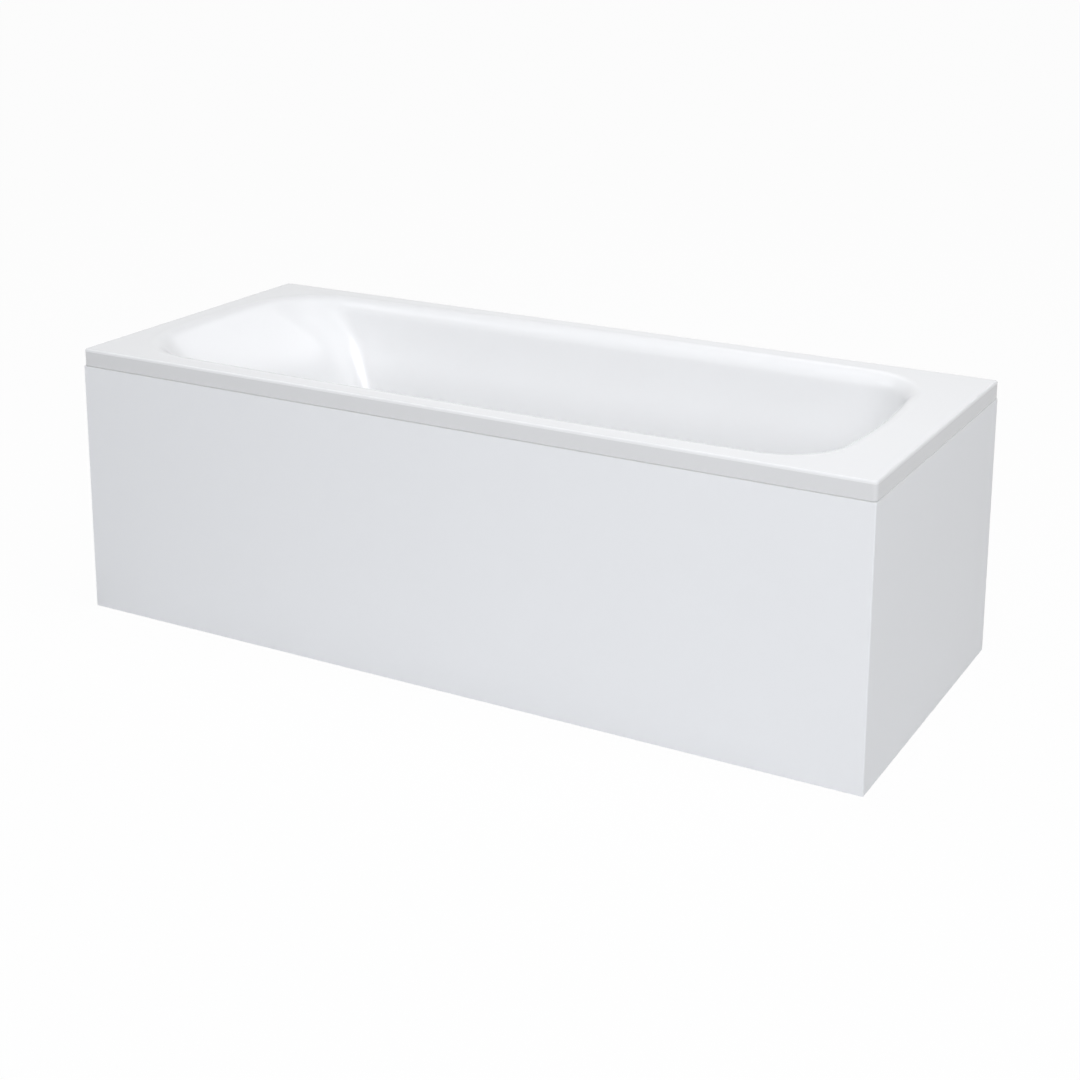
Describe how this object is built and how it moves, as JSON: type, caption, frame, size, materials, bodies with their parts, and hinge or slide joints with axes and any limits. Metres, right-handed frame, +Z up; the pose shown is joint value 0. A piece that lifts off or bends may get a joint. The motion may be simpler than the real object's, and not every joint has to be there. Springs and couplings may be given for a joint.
{
  "type": "rectangular bathtub with corner panel",
  "caption": "Rectangular acrylic bath for a room corner, with an L-shaped front and end panel, levelling feet, pop-up waste, overflow knob and trap.",
  "frame": {"origin": "on the floor under the middle of the whole outline", "axes": "+X along the length towards the foot end with the waste, +Y towards the back wall, +Z up"},
  "size_m": [1.7, 0.7, 0.562],
  "materials": {
    "bath_acrylic": "glossy white sanitary acrylic",
    "panel_acrylic": "satin-gloss white acrylic",
    "board": "particle board sealed with resin",
    "batten": "planed softwood",
    "zinc_steel": "zinc-plated sheet steel",
    "screw_steel": "zinc-plated steel",
    "chrome": "polished chrome",
    "seal_rubber": "black rubber",
    "white_plastic": "moulded white polypropylene",
    "grey_plastic": "grey polypropylene pipe",
    "nut_plastic": "dark grey moulded plastic",
    "cable_sheath": "black cable sheath",
    "pad_plastic": "black moulded nylon"
  },
  "bodies": {
    "bath": {"bath_shell": "bath_acrylic", "base_board": "board", "batten_front": "batten", "batten_back": "batten", "batten_head": "batten", "batten_foot": "batten", "corner_panel": "panel_acrylic", "panel_board_front": "batten", "panel_board_end": "batten", "panel_clips": "zinc_steel", "clip_screws": "screw_steel", "floor_angles": "zinc_steel", "angle_screws": "screw_steel", "wall_hooks_back": "zinc_steel", "wall_hooks_head": "zinc_steel", "cross_rail_head": "zinc_steel", "cross_rail_foot": "zinc_steel", "rail_screws": "screw_steel", "foot_nuts": "screw_steel", "waste_flange": "chrome", "upper_seal": "seal_rubber", "lower_seal": "seal_rubber", "waste_body": "white_plastic", "waste_grid": "chrome", "overflow_rosette": "chrome", "overflow_gasket": "seal_rubber", "overflow_body": "white_plastic", "overflow_pipe": "grey_plastic", "bowden_cable": "cable_sheath", "trap_body": "white_plastic", "trap_nut": "nut_plastic", "trap_cap": "nut_plastic", "outlet_nut": "nut_plastic", "outlet_pipe": "grey_plastic"},
    "pad_front_head": {"foot_pad_front_head": "pad_plastic"},
    "stud_front_head": {"foot_stud_front_head": "screw_steel"},
    "pad_back_head": {"foot_pad_back_head": "pad_plastic"},
    "stud_back_head": {"foot_stud_back_head": "screw_steel"},
    "pad_front_foot": {"foot_pad_front_foot": "pad_plastic"},
    "stud_front_foot": {"foot_stud_front_foot": "screw_steel"},
    "pad_back_foot": {"foot_pad_back_foot": "pad_plastic"},
    "stud_back_foot": {"foot_stud_back_foot": "screw_steel"},
    "knob": {"overflow_knob": "chrome", "knob_shaft": "screw_steel", "cable_crank": "nut_plastic"},
    "lifter": {"plug_lifter": "nut_plastic"},
    "plug": {"plug": "chrome", "plug_seal": "seal_rubber"}
  },
  "joints": [
    {"name": "height_front_head", "type": "slide", "parent": "bath", "child": "pad_front_head", "axis": [0, 0, 1], "range_m": [-0.0105, 0.0105]},
    {"name": "turn_front_head", "type": "hinge", "parent": "pad_front_head", "child": "stud_front_head", "pos_m": [-0.33, -0.27, 0], "axis": [0, 0, 1], "range_deg": [-2171, 2171]},
    {"name": "height_back_head", "type": "slide", "parent": "bath", "child": "pad_back_head", "axis": [0, 0, 1], "range_m": [-0.0105, 0.0105]},
    {"name": "turn_back_head", "type": "hinge", "parent": "pad_back_head", "child": "stud_back_head", "pos_m": [-0.33, 0.27, 0], "axis": [0, 0, 1], "range_deg": [-2171, 2171]},
    {"name": "height_front_foot", "type": "slide", "parent": "bath", "child": "pad_front_foot", "axis": [0, 0, 1], "range_m": [-0.0105, 0.0105]},
    {"name": "turn_front_foot", "type": "hinge", "parent": "pad_front_foot", "child": "stud_front_foot", "pos_m": [0.4, -0.27, 0], "axis": [0, 0, 1], "range_deg": [-2171, 2171]},
    {"name": "height_back_foot", "type": "slide", "parent": "bath", "child": "pad_back_foot", "axis": [0, 0, 1], "range_m": [-0.0105, 0.0105]},
    {"name": "turn_back_foot", "type": "hinge", "parent": "pad_back_foot", "child": "stud_back_foot", "pos_m": [0.4, 0.27, 0], "axis": [0, 0, 1], "range_deg": [-2171, 2171]},
    {"name": "knob_turn", "type": "hinge", "parent": "bath", "child": "knob", "pos_m": [0.71547, 0, 0.467], "axis": [-0.9781, 0, 0.2079], "range_deg": [0, 90]},
    {"name": "plug_lift", "type": "slide", "parent": "bath", "child": "lifter", "axis": [0, 0, 1], "range_m": [0, 0.0101]},
    {"name": "plug_pull", "type": "slide", "parent": "lifter", "child": "plug", "axis": [0, 0, 1], "range_m": [0, 0.06]}
  ],
  "couplings": [
    {"joint": "turn_front_head", "follows": "height_front_head", "rad_per_m": 3590.4},
    {"joint": "turn_back_head", "follows": "height_back_head", "rad_per_m": 3590.4},
    {"joint": "turn_front_foot", "follows": "height_front_foot", "rad_per_m": 3590.4},
    {"joint": "turn_back_foot", "follows": "height_back_foot", "rad_per_m": 3590.4},
    {"joint": "plug_lift", "follows": "knob_turn", "m_per_rad": 0.0063662}
  ]
}
